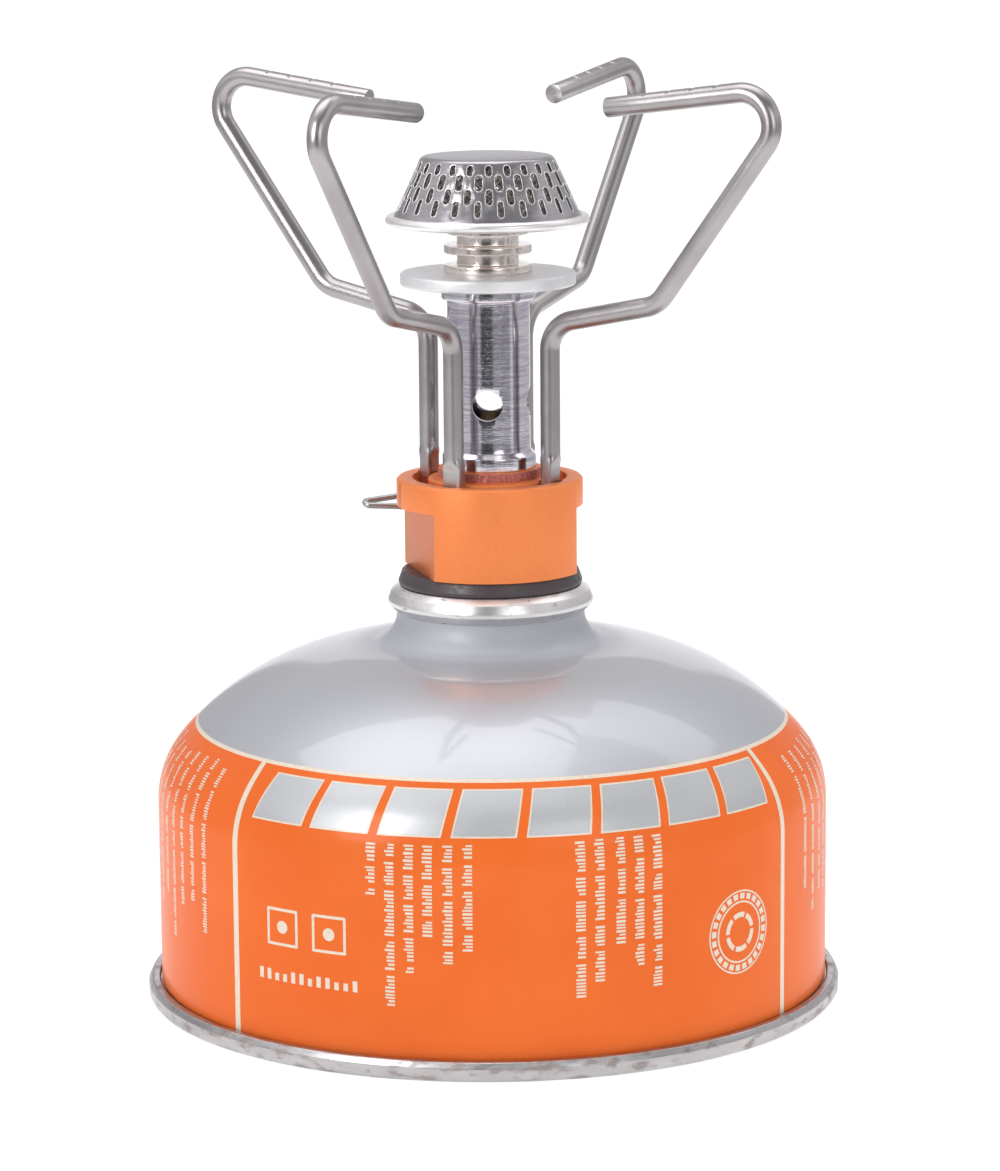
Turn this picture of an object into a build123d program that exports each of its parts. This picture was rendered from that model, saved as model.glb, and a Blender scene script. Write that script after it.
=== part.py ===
from build123d import *
import os
from math import acos, asin, atan2, cos, degrees, radians, sin, sqrt

# Canister-top camping stove on its gas canister. Millimetres, +Z up.
# The origin is the centre of the canister's base, on the surface that it stands on.
# Azimuths are in degrees about +Z, from +X towards +Y.

# Gas canister
WALL_R = 53.3
SHEET = 0.6
SEAM_R = 55.4
SEAM_H = 3.05
SEAM_INNER_R = 52.2
BASE_DISH_H = 9.0
SHOULDER_Z = 31.7
SHOULDER_BEND_R = 14.7
SHOULDER_TURN = 40.2
CROWN_R = 43.1
NECK_R = 14.9
NECK_FLARE_R = 5.0
NECK_TOP_Z = 63.4

# Valve cup: the crimped ring, the well inside it and the threaded boss
RING_R = 16.25
RING_BOTTOM_Z = 61.5
RING_TOP_Z = 65.7
CUP_SHEET = 0.4
WELL_R = 12.9
WELL_FLOOR_Z = 58.5
THREAD_R = 5.45
THREAD_PITCH = 0.907
BOSS_TOP_Z = 68.6

# Stove body
BODY_R = 14.73
BODY_BOTTOM_Z = 68.09
BODY_TOP_Z = 82.81
GASKET_BOTTOM_Z = 65.75
GASKET_BOTTOM_R = 14.65
GASKET_TOP_R = 13.9
SPIGOT_R = 8.2
SPIGOT_BOTTOM_Z = 59.6
SOCKET_TOP_Z = 70.2
FLAT_AZIMUTH = 15.7
FLAT_DISTANCE = 11.6
FLAT_TOP_Z = 78.5
GROOVE_INNER_R = 9.75
GROOVE_OUTER_R = 12.25
GROOVE_FLOOR_Z = 80.2
COLLAR_R = 8.05
COLLAR_TOP_Z = 84.4

# Valve, on a horizontal axis out of the back of the body
VALVE_AZIMUTH = 105.7
VALVE_Z = 75.7
SPINDLE_R = 1.6
SPINDLE_END = 25.0
BAIL_PIVOT = 23.0
BAIL_WIRE_R = 0.5
BAIL_FOLD_LEAN = 3.0
BAIL_HEIGHT = 3.1
BAIL_HOOK_END = 0.55
BAIL_TIP_REACH = 18.8

# Mixing tube, disc and burner
TUBE_R = 6.5
TUBE_COLLAR_R = 7.4
TUBE_BORE_R = 5.6
AIR_HOLE_R = 2.4
AIR_HOLE_Z = 94.8
AIR_HOLE_AZIMUTH = 267.4
TOP_COLLAR_Z = 111.0
DISC_R = 13.8
DISC_BOTTOM_Z = 113.2
DISC_TOP_Z = 115.25
BURNER_NECK_R = 4.85
BURNER_BORE_R = 3.7
NECK_SPIGOT_R = 4.4
NECK_SPIGOT_BOTTOM_Z = 107.5
FIN_R = 6.9
PAN_BOTTOM_Z = 121.9
PAN_SHEET = 0.7
BEAD_R = 15.2
BEAD_Z = 123.5
BEAD_WIRE_R = 0.8
CAP_SHEET = 0.5
CAP_BOTTOM_R = 14.6
CAP_BOTTOM_Z = 124.15
CAP_TOP_R = 10.3
CAP_TOP_Z = 133.4
SLOTS_PER_ROW = 24
FIRST_SLOT_AZIMUTH = 271.3
# Height, length along the slope, width and share of a pitch that the row is turned by
SLOT_ROWS = (
    (131.9, 2.0, 1.2, 0.0),
    (130.1, 2.85, 1.4, 0.5),
    (128.0, 2.75, 1.3, 0.0),
    (126.2, 2.85, 1.15, 0.5),
)

# Four bent-wire pot supports
SUPPORT_AZIMUTHS = (330, 240, 150, 60)
PIVOT_R = 11.05
SUPPORT_WIRE_R = 1.55
SUPPORT_BEND_R = 5.0
SUPPORT_KNEE_Z = 107.5
SUPPORT_ELBOW = (30.0, 111.5)
SUPPORT_CORNER = (55.4, 145.9)
SUPPORT_TIP = (21.4, 141.5)
NOTCH_FIRST = 6.6
NOTCH_PITCH = 4.1
NOTCH_COUNT = 4
NOTCH_DEPTH = 0.35
BLADE_THICK = 2.0
BLADE_WIDE = 3.2
BLADE_BOTTOM_Z = 79.3
BLADE_TOP_Z = 84.9
BLADE_BLEND_Z = 86.4
PIVOT_POCKET_R = 1.9
PIVOT_POCKET_Z = 79.2
STUB_R = 1.2
STUB_BOTTOM_Z = 72.2
CLIP_POCKET_R = 2.8
CLIP_POCKET_Z = 73.5
CLIP_Z = 72.8
CLIP_THICK = 0.5

RUNNING = 0.06
SEAT_GAP = 0.05


def polar(radius, azimuth, z):
    """A point at a radius and azimuth about the vertical axis."""
    return Vector(radius * cos(radians(azimuth)), radius * sin(radians(azimuth)), z)


def turned(*outline):
    """A solid of revolution about Z from a closed outline of (radius, z) points."""
    wire = Polyline(*[(r, 0, z) for r, z in outline], close=True)
    return revolve(make_face(wire), Axis.Z)


def turned_rounded(outline, radii):
    """As turned, with a rounding radius for each point of the outline."""
    wire = FilletPolyline(*[(r, 0, z) for r, z in outline], radius=radii, close=True)
    return revolve(make_face(wire), Axis.Z)


def rod(radius, bottom, top):
    """A solid cylinder on the Z axis."""
    return turned((0, bottom), (radius, bottom), (radius, top), (0, top))


def ring(outer, inner, bottom, top):
    """A plain ring on the Z axis."""
    return turned((inner, bottom), (outer, bottom), (outer, top), (inner, top))


def arc(centre, radius, start, end):
    """An arc in the XZ plane between two angles in degrees."""
    angles = (start, (start + end) / 2, end)
    points = [(centre[0] + radius * cos(radians(a)), 0, centre[1] + radius * sin(radians(a)))
              for a in angles]
    return ThreePointArc(*points)


def bent_wire(points, radii, wire_r):
    """Round wire along straight runs joined by tangent bends."""
    path = FilletPolyline(*points, radius=radii)
    section = Plane(origin=path @ 0, z_dir=path % 0) * Circle(wire_r)
    return sweep(section, path=path)


def on_valve_axis(shape):
    """Move a shape from the Z axis to the valve's horizontal axis."""
    plane = Plane(origin=(0, 0, VALVE_Z), x_dir=(0, 0, 1), z_dir=polar(1, VALVE_AZIMUTH, 0))
    return plane.location * shape


# ---- gas canister ----

def canister_shell():
    """Drawn wall, domed shoulder and neck with the curl that the valve cup is crimped on."""
    shoulder = (WALL_R - SHOULDER_BEND_R, SHOULDER_Z)
    reach = SHOULDER_BEND_R - CROWN_R
    crown = (shoulder[0] + reach * cos(radians(SHOULDER_TURN)),
             shoulder[1] + reach * sin(radians(SHOULDER_TURN)))
    flare_x = NECK_R + NECK_FLARE_R
    span = CROWN_R + NECK_FLARE_R
    crown_end = degrees(acos((flare_x - crown[0]) / span))
    flare = (flare_x, crown[1] + span * sin(radians(crown_end)))

    def skin(inset, top):
        wall = WALL_R - inset
        neck = NECK_R - inset
        return [Line((wall, 0, SEAM_H), (wall, 0, SHOULDER_Z)),
                arc(shoulder, SHOULDER_BEND_R - inset, 0, SHOULDER_TURN),
                arc(crown, CROWN_R - inset, SHOULDER_TURN, crown_end),
                arc(flare, NECK_FLARE_R + inset, crown_end + 180, 180),
                Line((neck, 0, flare[1]), (neck, 0, top))]

    ends = [Line((WALL_R, 0, SEAM_H), (WALL_R - SHEET, 0, SEAM_H)),
            Line((NECK_R, 0, NECK_TOP_Z), (NECK_R - SHEET, 0, NECK_TOP_Z))]
    shell = revolve(make_face(skin(0, NECK_TOP_Z) + skin(SHEET, NECK_TOP_Z) + ends), Axis.Z)
    curl_r = 0.75
    curl = revolve(Plane.XZ * Pos(NECK_R - 0.1, NECK_TOP_Z + 0.4) * Circle(curl_r), Axis.Z)
    return shell + curl


def canister_base():
    """Dished bottom end with the rolled double seam that the canister stands on."""
    dish_r = SEAM_INNER_R - 1.6
    sagitta = BASE_DISH_H - SEAM_H
    sphere_r = (dish_r ** 2 + sagitta ** 2) / (2 * sagitta)
    centre_z = BASE_DISH_H - sphere_r
    dish_edge_z = centre_z + sqrt(sphere_r ** 2 - dish_r ** 2)
    half = degrees(asin(dish_r / sphere_r))
    lower = arc((0, centre_z), sphere_r, 90, 90 - half)
    upper = arc((0, centre_z), sphere_r + SHEET, 90, 90 - half)
    edge = upper @ 1
    corners = (lower @ 1, (SEAM_INNER_R, 0, dish_edge_z - 2.2), (SEAM_INNER_R + 0.5, 0, 0),
               (SEAM_R - 0.45, 0, 0), (SEAM_R, 0, 0.5), (SEAM_R, 0, 2.1), (SEAM_R - 0.7, 0, SEAM_H),
               (SEAM_INNER_R + 0.5, 0, SEAM_H), (SEAM_INNER_R, 0, SEAM_H + 0.8), edge)
    rim = Polyline(*corners)
    axis_side = Line(lower @ 0, upper @ 0)
    return revolve(make_face([lower, upper, rim, axis_side]), Axis.Z)


def valve_cup():
    """Tinplate cup: crimped ring, well and the threaded boss with its valve chamber."""
    outline = (
        (NECK_R + SEAT_GAP, RING_BOTTOM_Z), (RING_R, 62.85), (RING_R, 63.45), (15.75, 64.8),
        (14.5, RING_TOP_Z), (13.4, RING_TOP_Z), (WELL_R, 65.1), (WELL_R, WELL_FLOOR_Z),
        (THREAD_R + 0.5, WELL_FLOOR_Z), (THREAD_R, 59.0), (THREAD_R, BOSS_TOP_Z - 0.5),
        (THREAD_R - 0.5, BOSS_TOP_Z), (2.1, BOSS_TOP_Z), (2.1, 66.8), (4.6, 66.8), (4.6, 58.0),
        (WELL_R + CUP_SHEET, 58.0), (WELL_R + CUP_SHEET, 65.0), (13.8, 65.3), (14.4, 65.3),
        (15.4, 64.5), (15.85, 63.4), (15.85, 63.0), (NECK_R + SEAT_GAP, 62.1),
    )
    cup = turned(*outline)
    groove_count = 7
    for i in range(groove_count):
        z = BOSS_TOP_Z - 1.2 - i * THREAD_PITCH
        half = 0.28
        cup -= turned((THREAD_R + 0.1, z - half), (THREAD_R - 0.35, z), (THREAD_R + 0.1, z + half))
    return cup


def cup_seal():
    """Rubber lining squeezed between the can's neck and the valve cup."""
    return ring(NECK_R - SHEET - SEAT_GAP, WELL_R + CUP_SHEET + SEAT_GAP, 61.6, 63.2)


def valve_housing():
    """Moulded housing pressed up into the boss."""
    return turned((1.0, 53.8), (1.8, 53.8), (1.8, 56.2), (4.3, 56.2), (4.3, 57.6), (4.55, 57.9),
                  (4.55, 65.5), (3.4, 65.5), (3.4, 57.7), (1.0, 57.7))


def valve_spring():
    """Coil spring that closes the canister's valve."""
    wire_r = 0.25
    coil_r = 2.35
    helix = Helix(pitch=0.72, height=2.5, radius=coil_r, center=(0, 0, 58.05))
    section = Plane(origin=helix @ 0, z_dir=helix % 0) * Circle(wire_r)
    return sweep(section, path=helix, is_frenet=True)


def valve_stem():
    """Valve stem, shown pressed down by the stove's pin."""
    stem = turned((0, 59.9), (1.6, 59.9), (1.6, 61.0), (3.0, 61.0), (3.0, 64.05), (1.6, 64.05),
                  (1.6, 66.95), (0, 66.95))
    stem -= rod(0.7, 64.6, 67.5)
    stem -= Pos(0, 0, 65.0) * Rot(0, 90, 0) * Cylinder(0.45, 4)
    return stem


def stem_gasket():
    """Rubber washer round the stem, under the boss's top."""
    return ring(4.5, 1.75, 65.55, 66.75)


# ---- stove body and inlet ----

def base_gasket():
    """Rubber ring that the body sits down on the canister with."""
    return turned((SPIGOT_R + SEAT_GAP, GASKET_BOTTOM_Z), (GASKET_BOTTOM_R, GASKET_BOTTOM_Z),
                  (GASKET_TOP_R, BODY_BOTTOM_Z), (SPIGOT_R + SEAT_GAP, BODY_BOTTOM_Z))


def wrench_flats():
    """Tools that cut the two flats below the body's flange."""
    tool = Box(8, 40, FLAT_TOP_Z - BODY_BOTTOM_Z + 4, align=(Align.MIN, Align.CENTER, Align.MAX))
    tool = Pos(FLAT_DISTANCE, 0, FLAT_TOP_Z) * tool
    return Rot(0, 0, FLAT_AZIMUTH) * tool + Rot(0, 0, FLAT_AZIMUTH + 180) * tool


def stove_body():
    """Turned body: spigot, flats, flange, support groove and the gas passages."""
    chamfer = 0.35
    body = turned(
        (0, SPIGOT_BOTTOM_Z), (SPIGOT_R, SPIGOT_BOTTOM_Z), (SPIGOT_R, BODY_BOTTOM_Z),
        (BODY_R, BODY_BOTTOM_Z), (BODY_R, BODY_TOP_Z - chamfer), (BODY_R - chamfer, BODY_TOP_Z),
        (GROOVE_OUTER_R, BODY_TOP_Z), (GROOVE_OUTER_R, GROOVE_FLOOR_Z),
        (GROOVE_INNER_R, GROOVE_FLOOR_Z), (GROOVE_INNER_R, BODY_TOP_Z - 0.3),
        (GROOVE_INNER_R - 0.3, BODY_TOP_Z), (COLLAR_R, BODY_TOP_Z), (COLLAR_R, COLLAR_TOP_Z),
        (0, COLLAR_TOP_Z),
    )
    body -= wrench_flats()
    for azimuth in SUPPORT_AZIMUTHS:
        spot = Pos(polar(PIVOT_R, azimuth, 0))
        body -= spot * rod(PIVOT_POCKET_R, PIVOT_POCKET_Z, BODY_TOP_Z + 1)
        body -= spot * rod(STUB_R + RUNNING, CLIP_POCKET_Z - 1, BODY_TOP_Z)
        body -= spot * rod(CLIP_POCKET_R, BODY_BOTTOM_Z - 1, CLIP_POCKET_Z)
    body -= rod(THREAD_R + 0.1, SPIGOT_BOTTOM_Z - 1, 69.4)
    body -= rod(5.05, 69.0, SOCKET_TOP_Z)
    body -= rod(1.55, SOCKET_TOP_Z - 1, 73.0)
    body -= Pos(polar(2.7, VALVE_AZIMUTH, 0)) * rod(0.7, SOCKET_TOP_Z - 1, 75.0)
    body -= rod(0.8, VALVE_Z, 79.0)
    body -= rod(2.5, 78.4, 83.0)
    body -= rod(6.0, 82.0, COLLAR_TOP_Z + 1)
    valve_bore = rod(0.6, -0.5, 2.5) + rod(1.9, 2.2, 7.0) + rod(2.6, 6.0, 9.5) + rod(3.3, 9.2, 16)
    body -= on_valve_axis(valve_bore)
    return body


def inlet_oring():
    """Seal between the socket's top and the canister's boss."""
    section_r = 0.72
    return Pos(0, 0, SOCKET_TOP_Z - section_r - SEAT_GAP) * Torus(4.15, section_r)


def depressor_pin():
    """Pressed-in pin that pushes the canister's valve open."""
    pin = turned((0, 67.0), (1.2, 67.0), (1.2, 70.4), (1.5, 70.6), (1.5, 72.95), (0, 72.95))
    pin -= Pos(0, 0, 67.3) * Box(4, 0.5, 0.7)
    return pin


def jet():
    """Screwed-in jet with a hexagonal head and a fine orifice."""
    hex_r = 2.9
    base = turned((0, 78.5), (2.45, 78.5), (2.45, 82.0), (0, 82.0))
    head = Pos(0, 0, 82.0) * extrude(RegularPolygon(hex_r, 6), amount=3.2)
    nose = turned((0, 85.2), (2.2, 85.2), (1.3, 89.8), (0.9, 90.2), (0, 90.2))
    bore = rod(1.3, 78.0, 86.5) + rod(0.3, 86.0, 91.0)
    return base + head + nose - bore


def jet_filter():
    """Sintered filter pressed in the jet's inlet."""
    return rod(1.25, 78.6, 81.4)


# ---- flame valve ----

def packing_nut():
    """Hexagonal gland nut that holds the spindle and its seal."""
    thread = ring(3.25, SPINDLE_R + RUNNING, 9.3, 14.9)
    flats = Pos(0, 0, 14.9) * extrude(RegularPolygon(4.6, 6), amount=3.2)
    lip = rod(3.4, 18.1, 19.6)
    nut = thread + (flats + lip - rod(SPINDLE_R + RUNNING, 14, 20))
    return on_valve_axis(nut)


def spindle_oring():
    """Seal on the spindle, behind the gland nut."""
    return on_valve_axis(Pos(0, 0, 7.6) * Torus(SPINDLE_R + 0.52, 0.45))


def valve_spindle():
    """Needle spindle with a cross hole for the wire bail."""
    spindle = turned((0, 1.5), (0.15, 1.5), (0.95, 4.2), (SPINDLE_R - 0.3, 4.6),
                     (SPINDLE_R - 0.3, 6.2), (SPINDLE_R, 6.4), (SPINDLE_R, SPINDLE_END - 0.5),
                     (SPINDLE_R - 0.5, SPINDLE_END), (0, SPINDLE_END))
    hole_r = BAIL_WIRE_R + 2 * RUNNING
    spindle -= Pos(0, 0, BAIL_PIVOT) * Rot(0, 90, 0) * Cylinder(hole_r, 6)
    return on_valve_axis(spindle)


def control_bail():
    """Wire bail, folded to the side: its two ends hook into the spindle from above and below."""
    pivot = polar(BAIL_PIVOT, VALVE_AZIMUTH, VALVE_Z)
    along = polar(1, VALVE_AZIMUTH + 90 + BAIL_FOLD_LEAN, 0)
    near = polar(1, VALVE_AZIMUTH + 180 + BAIL_FOLD_LEAN, 0)
    up = Vector(0, 0, 1)

    def at(reach, side, height):
        return pivot + along * reach + near * side + up * height

    points = (at(0, 0, BAIL_HOOK_END), at(0, 0, BAIL_HEIGHT), at(9.0, -1.3, 0.6),
              at(BAIL_TIP_REACH, 0, 0), at(9.0, 1.8, -0.6), at(0, 0, -BAIL_HEIGHT),
              at(0, 0, -BAIL_HOOK_END))
    return bent_wire(points, (1.0, 4.0, 0.8, 4.0, 1.0), BAIL_WIRE_R)


# ---- mixing tube and burner ----

def mixing_tube():
    """Tube that draws in air through four holes above the jet."""
    tube = turned(
        (5.0, 82.1), (5.95, 82.1), (5.95, COLLAR_TOP_Z), (TUBE_COLLAR_R, COLLAR_TOP_Z),
        (TUBE_COLLAR_R, 86.5), (TUBE_R, 87.3), (TUBE_R, TOP_COLLAR_Z),
        (TUBE_COLLAR_R - 0.5, TOP_COLLAR_Z), (TUBE_COLLAR_R, TOP_COLLAR_Z + 0.5),
        (TUBE_COLLAR_R, DISC_BOTTOM_Z), (NECK_SPIGOT_R, DISC_BOTTOM_Z),
        (NECK_SPIGOT_R, TOP_COLLAR_Z - 0.3), (TUBE_BORE_R, TOP_COLLAR_Z - 1.5),
        (TUBE_BORE_R, 87.5), (5.0, 87.0),
    )
    hole = Pos(TUBE_R, 0, AIR_HOLE_Z) * Rot(0, 90, 0) * Cylinder(AIR_HOLE_R, 6)
    for turn in range(4):
        tube -= Rot(0, 0, AIR_HOLE_AZIMUTH + 90 * turn) * hole
    return tube


def heat_disc():
    """Flat disc that keeps the flame's heat off the valve."""
    edge = 0.45
    hole_r = NECK_SPIGOT_R + SEAT_GAP
    outline = ((hole_r, DISC_BOTTOM_Z), (DISC_R, DISC_BOTTOM_Z), (DISC_R, DISC_TOP_Z),
               (hole_r, DISC_TOP_Z))
    return turned_rounded(outline, (0, edge, edge, 0))


def burner_neck():
    """Finned brass neck between the mixing tube and the burner pan."""
    return turned(
        (BURNER_BORE_R, NECK_SPIGOT_BOTTOM_Z), (NECK_SPIGOT_R, NECK_SPIGOT_BOTTOM_Z),
        (NECK_SPIGOT_R, DISC_TOP_Z), (FIN_R, DISC_TOP_Z), (FIN_R, 116.5),
        (BURNER_NECK_R, 116.5), (BURNER_NECK_R, 118.3), (FIN_R, 118.3), (FIN_R, 119.6),
        (BURNER_NECK_R, 119.6), (BURNER_NECK_R, 121.2), (6.4, 121.2), (6.4, PAN_BOTTOM_Z),
        (4.8, PAN_BOTTOM_Z), (4.8, 123.3), (BURNER_BORE_R, 123.3),
    )


def burner_pan():
    """Pressed pan with a rolled rim."""
    rim_z = 122.75
    pan = turned((4.85, PAN_BOTTOM_Z), (6.4, PAN_BOTTOM_Z), (BEAD_R, rim_z),
                 (BEAD_R, rim_z + PAN_SHEET), (6.4, PAN_BOTTOM_Z + PAN_SHEET),
                 (4.85, PAN_BOTTOM_Z + PAN_SHEET))
    bead = revolve(Plane.XZ * Pos(BEAD_R, BEAD_Z) * Circle(BEAD_WIRE_R), Axis.Z)
    return pan + bead


def burner_cap():
    """Perforated conical cap: four staggered rows of oval flame slots."""
    top_in = CAP_TOP_R - 0.35
    outline = ((14.2, 123.6), (CAP_BOTTOM_R, CAP_BOTTOM_Z), (CAP_TOP_R, CAP_TOP_Z), (0, CAP_TOP_Z),
               (0, CAP_TOP_Z - CAP_SHEET), (top_in, CAP_TOP_Z - CAP_SHEET),
               (CAP_BOTTOM_R - 0.55, CAP_BOTTOM_Z), (13.7, 123.6))
    cap = turned_rounded(outline, (0, 0.3, 1.0, 0, 0, 0.5, 0, 0))
    fall = CAP_TOP_Z - CAP_BOTTOM_Z
    spread = CAP_BOTTOM_R - CAP_TOP_R
    lean = degrees(atan2(spread, fall))
    tools = []
    for z, length, width, shift in SLOT_ROWS:
        radius = CAP_TOP_R + (CAP_TOP_Z - z) / fall * spread
        slot = extrude(SlotOverall(length, width), amount=1.2, both=True)
        placed = Pos(radius, 0, z) * Rot(0, 90 - lean, 0) * slot
        for i in range(SLOTS_PER_ROW):
            turn = FIRST_SLOT_AZIMUTH + (i + shift) * 360 / SLOTS_PER_ROW
            tools.append(Rot(0, 0, turn) * placed)
    return cap - tools


def burner_screen():
    """Fine wire-cloth cone inside the cap, as a thin shell."""
    return turned((12.7, 123.8), (12.95, 123.8), (9.2, 132.2), (8.95, 132.2))


# ---- pot supports ----

def support_notches():
    """Tools for the grip notches across a support's top bar, in the arm's own plane."""
    run_x = SUPPORT_CORNER[0] - SUPPORT_TIP[0]
    run_z = SUPPORT_CORNER[1] - SUPPORT_TIP[1]
    slope = atan2(run_z, run_x)
    tools = []
    for i in range(NOTCH_COUNT):
        along = NOTCH_FIRST + i * NOTCH_PITCH
        offset = SUPPORT_WIRE_R - NOTCH_DEPTH
        x = SUPPORT_TIP[0] + along * cos(slope) - offset * sin(slope)
        z = SUPPORT_TIP[1] + along * sin(slope) + offset * cos(slope)
        wedge = extrude(Plane.XZ * Polygon((0, 0), (0.75, 0.75), (-0.25, 0.75), align=None),
                        amount=3, both=True)
        tools.append(Pos(x, 0, z) * Rot(0, -degrees(slope), 0) * wedge)
    return tools


def pot_support(azimuth):
    """One wire arm: pivot stub, coined blade, upright, sloping strut and top bar."""
    points = ((PIVOT_R, 0, BLADE_BLEND_Z), (PIVOT_R, 0, SUPPORT_KNEE_Z),
              (SUPPORT_ELBOW[0], 0, SUPPORT_ELBOW[1]), (SUPPORT_CORNER[0], 0, SUPPORT_CORNER[1]),
              (SUPPORT_TIP[0], 0, SUPPORT_TIP[1]))
    arm = bent_wire(points, SUPPORT_BEND_R, SUPPORT_WIRE_R)
    blade_face = RectangleRounded(BLADE_THICK, BLADE_WIDE, 0.45)
    blade = Pos(PIVOT_R, 0, BLADE_BOTTOM_Z) * extrude(blade_face, amount=BLADE_TOP_Z - BLADE_BOTTOM_Z)
    blend = loft([Pos(PIVOT_R, 0, BLADE_TOP_Z) * blade_face,
                  Pos(PIVOT_R, 0, BLADE_BLEND_Z) * Circle(SUPPORT_WIRE_R)])
    stub = turned((0, STUB_BOTTOM_Z), (STUB_R, STUB_BOTTOM_Z), (STUB_R, CLIP_Z - 0.05),
                  (0.9, CLIP_Z - 0.05), (0.9, CLIP_Z + CLIP_THICK + 0.05),
                  (STUB_R, CLIP_Z + CLIP_THICK + 0.05), (STUB_R, BLADE_BOTTOM_Z),
                  (0, BLADE_BOTTOM_Z))
    arm = arm + blend + blade + Pos(PIVOT_R, 0, 0) * stub
    arm -= support_notches()
    return Rot(0, 0, azimuth) * arm


def support_clip(azimuth):
    """E-clip that keeps a support's stub in the body."""
    clip = ring(2.5, 0.95, CLIP_Z, CLIP_Z + CLIP_THICK)
    clip -= Pos(-2, 0, CLIP_Z) * Box(4, 1.5, 2)
    return Rot(0, 0, azimuth) * Pos(PIVOT_R, 0, 0) * clip


PARTS = {
    "canister_shell": canister_shell,
    "canister_base": canister_base,
    "valve_cup": valve_cup,
    "cup_seal": cup_seal,
    "valve_housing": valve_housing,
    "valve_spring": valve_spring,
    "valve_stem": valve_stem,
    "stem_gasket": stem_gasket,
    "base_gasket": base_gasket,
    "stove_body": stove_body,
    "inlet_oring": inlet_oring,
    "depressor_pin": depressor_pin,
    "jet": jet,
    "jet_filter": jet_filter,
    "packing_nut": packing_nut,
    "spindle_oring": spindle_oring,
    "valve_spindle": valve_spindle,
    "control_bail": control_bail,
    "mixing_tube": mixing_tube,
    "heat_disc": heat_disc,
    "burner_neck": burner_neck,
    "burner_pan": burner_pan,
    "burner_cap": burner_cap,
    "burner_screen": burner_screen,
}

os.makedirs("parts", exist_ok=True)
for name, make in PARTS.items():
    export_step(make(), f"parts/{name}.step")
for number, azimuth in enumerate(SUPPORT_AZIMUTHS, start=1):
    export_step(pot_support(azimuth), f"parts/pot_support_{number}.step")
    export_step(support_clip(azimuth), f"parts/support_clip_{number}.step")
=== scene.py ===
import bpy
import bmesh
import random
from math import acos, atan2, cos, degrees, dist, hypot, pi, radians, sin, tan
from mathutils import Matrix, Vector


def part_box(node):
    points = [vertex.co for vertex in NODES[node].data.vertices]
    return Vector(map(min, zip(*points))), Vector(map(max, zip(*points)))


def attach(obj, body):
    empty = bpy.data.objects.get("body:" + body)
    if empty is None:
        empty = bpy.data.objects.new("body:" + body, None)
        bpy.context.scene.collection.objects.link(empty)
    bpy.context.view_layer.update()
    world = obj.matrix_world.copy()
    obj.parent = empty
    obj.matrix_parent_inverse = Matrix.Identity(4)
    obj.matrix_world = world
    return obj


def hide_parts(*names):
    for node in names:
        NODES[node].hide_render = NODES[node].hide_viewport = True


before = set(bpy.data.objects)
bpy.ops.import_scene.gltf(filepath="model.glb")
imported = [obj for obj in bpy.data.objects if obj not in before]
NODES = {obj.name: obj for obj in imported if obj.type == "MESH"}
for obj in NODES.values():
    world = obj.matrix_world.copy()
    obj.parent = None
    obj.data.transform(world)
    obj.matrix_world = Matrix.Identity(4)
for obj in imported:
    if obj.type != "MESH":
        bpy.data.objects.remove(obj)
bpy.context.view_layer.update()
MM = 0.001


def extent(node):
    """Radius about the axis, lowest z and highest z of a turned CAD node, in millimetres."""
    low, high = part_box(node)
    return high[0] / MM, low[2] / MM, high[2] / MM


# ---- camera: metres, degrees and millimetres of lens ----

CAMERA_DISTANCE = 0.6838
CAMERA_HEIGHT = 0.1924
CAMERA_OFFSET = 0.0015
CAMERA_PITCH = 10.54
CAMERA_ROLL = -0.45
CAMERA_LENS = 134.7


def placed(name, data):
    """A new object, linked to the scene."""
    made = bpy.data.objects.new(name, data)
    bpy.context.scene.collection.objects.link(made)
    return made


def make_camera():
    """The photo's view: a long lens in front of the stove, above it and looking a little down."""
    data = bpy.data.cameras.new("camera")
    data.lens = CAMERA_LENS
    data.sensor_width = 36
    data.clip_start = 0.01
    data.clip_end = 50
    camera = placed("camera", data)
    place = Matrix.Translation((CAMERA_OFFSET, -CAMERA_DISTANCE, CAMERA_HEIGHT))
    tilt = Matrix.Rotation(radians(90 - CAMERA_PITCH), 4, "X")
    roll = Matrix.Rotation(radians(CAMERA_ROLL), 4, "Z")
    camera.matrix_world = place @ tilt @ roll
    bpy.context.scene.camera = camera


# ---- materials ----

class NodeTree:
    """Short calls for adding and linking shader nodes."""

    def __init__(self, owner):
        owner.use_nodes = True
        self.tree = owner.node_tree

    def add(self, kind, **settings):
        node = self.tree.nodes.new(kind)
        for key, value in settings.items():
            setattr(node, key, value)
        return node

    def link(self, output, target):
        self.tree.links.new(output, target)

    def math(self, operation, *values):
        node = self.add("ShaderNodeMath", operation=operation)
        for socket, value in zip(node.inputs, values):
            if isinstance(value, (int, float)):
                socket.default_value = value
            else:
                self.link(value, socket)
        return node.outputs[0]


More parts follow.
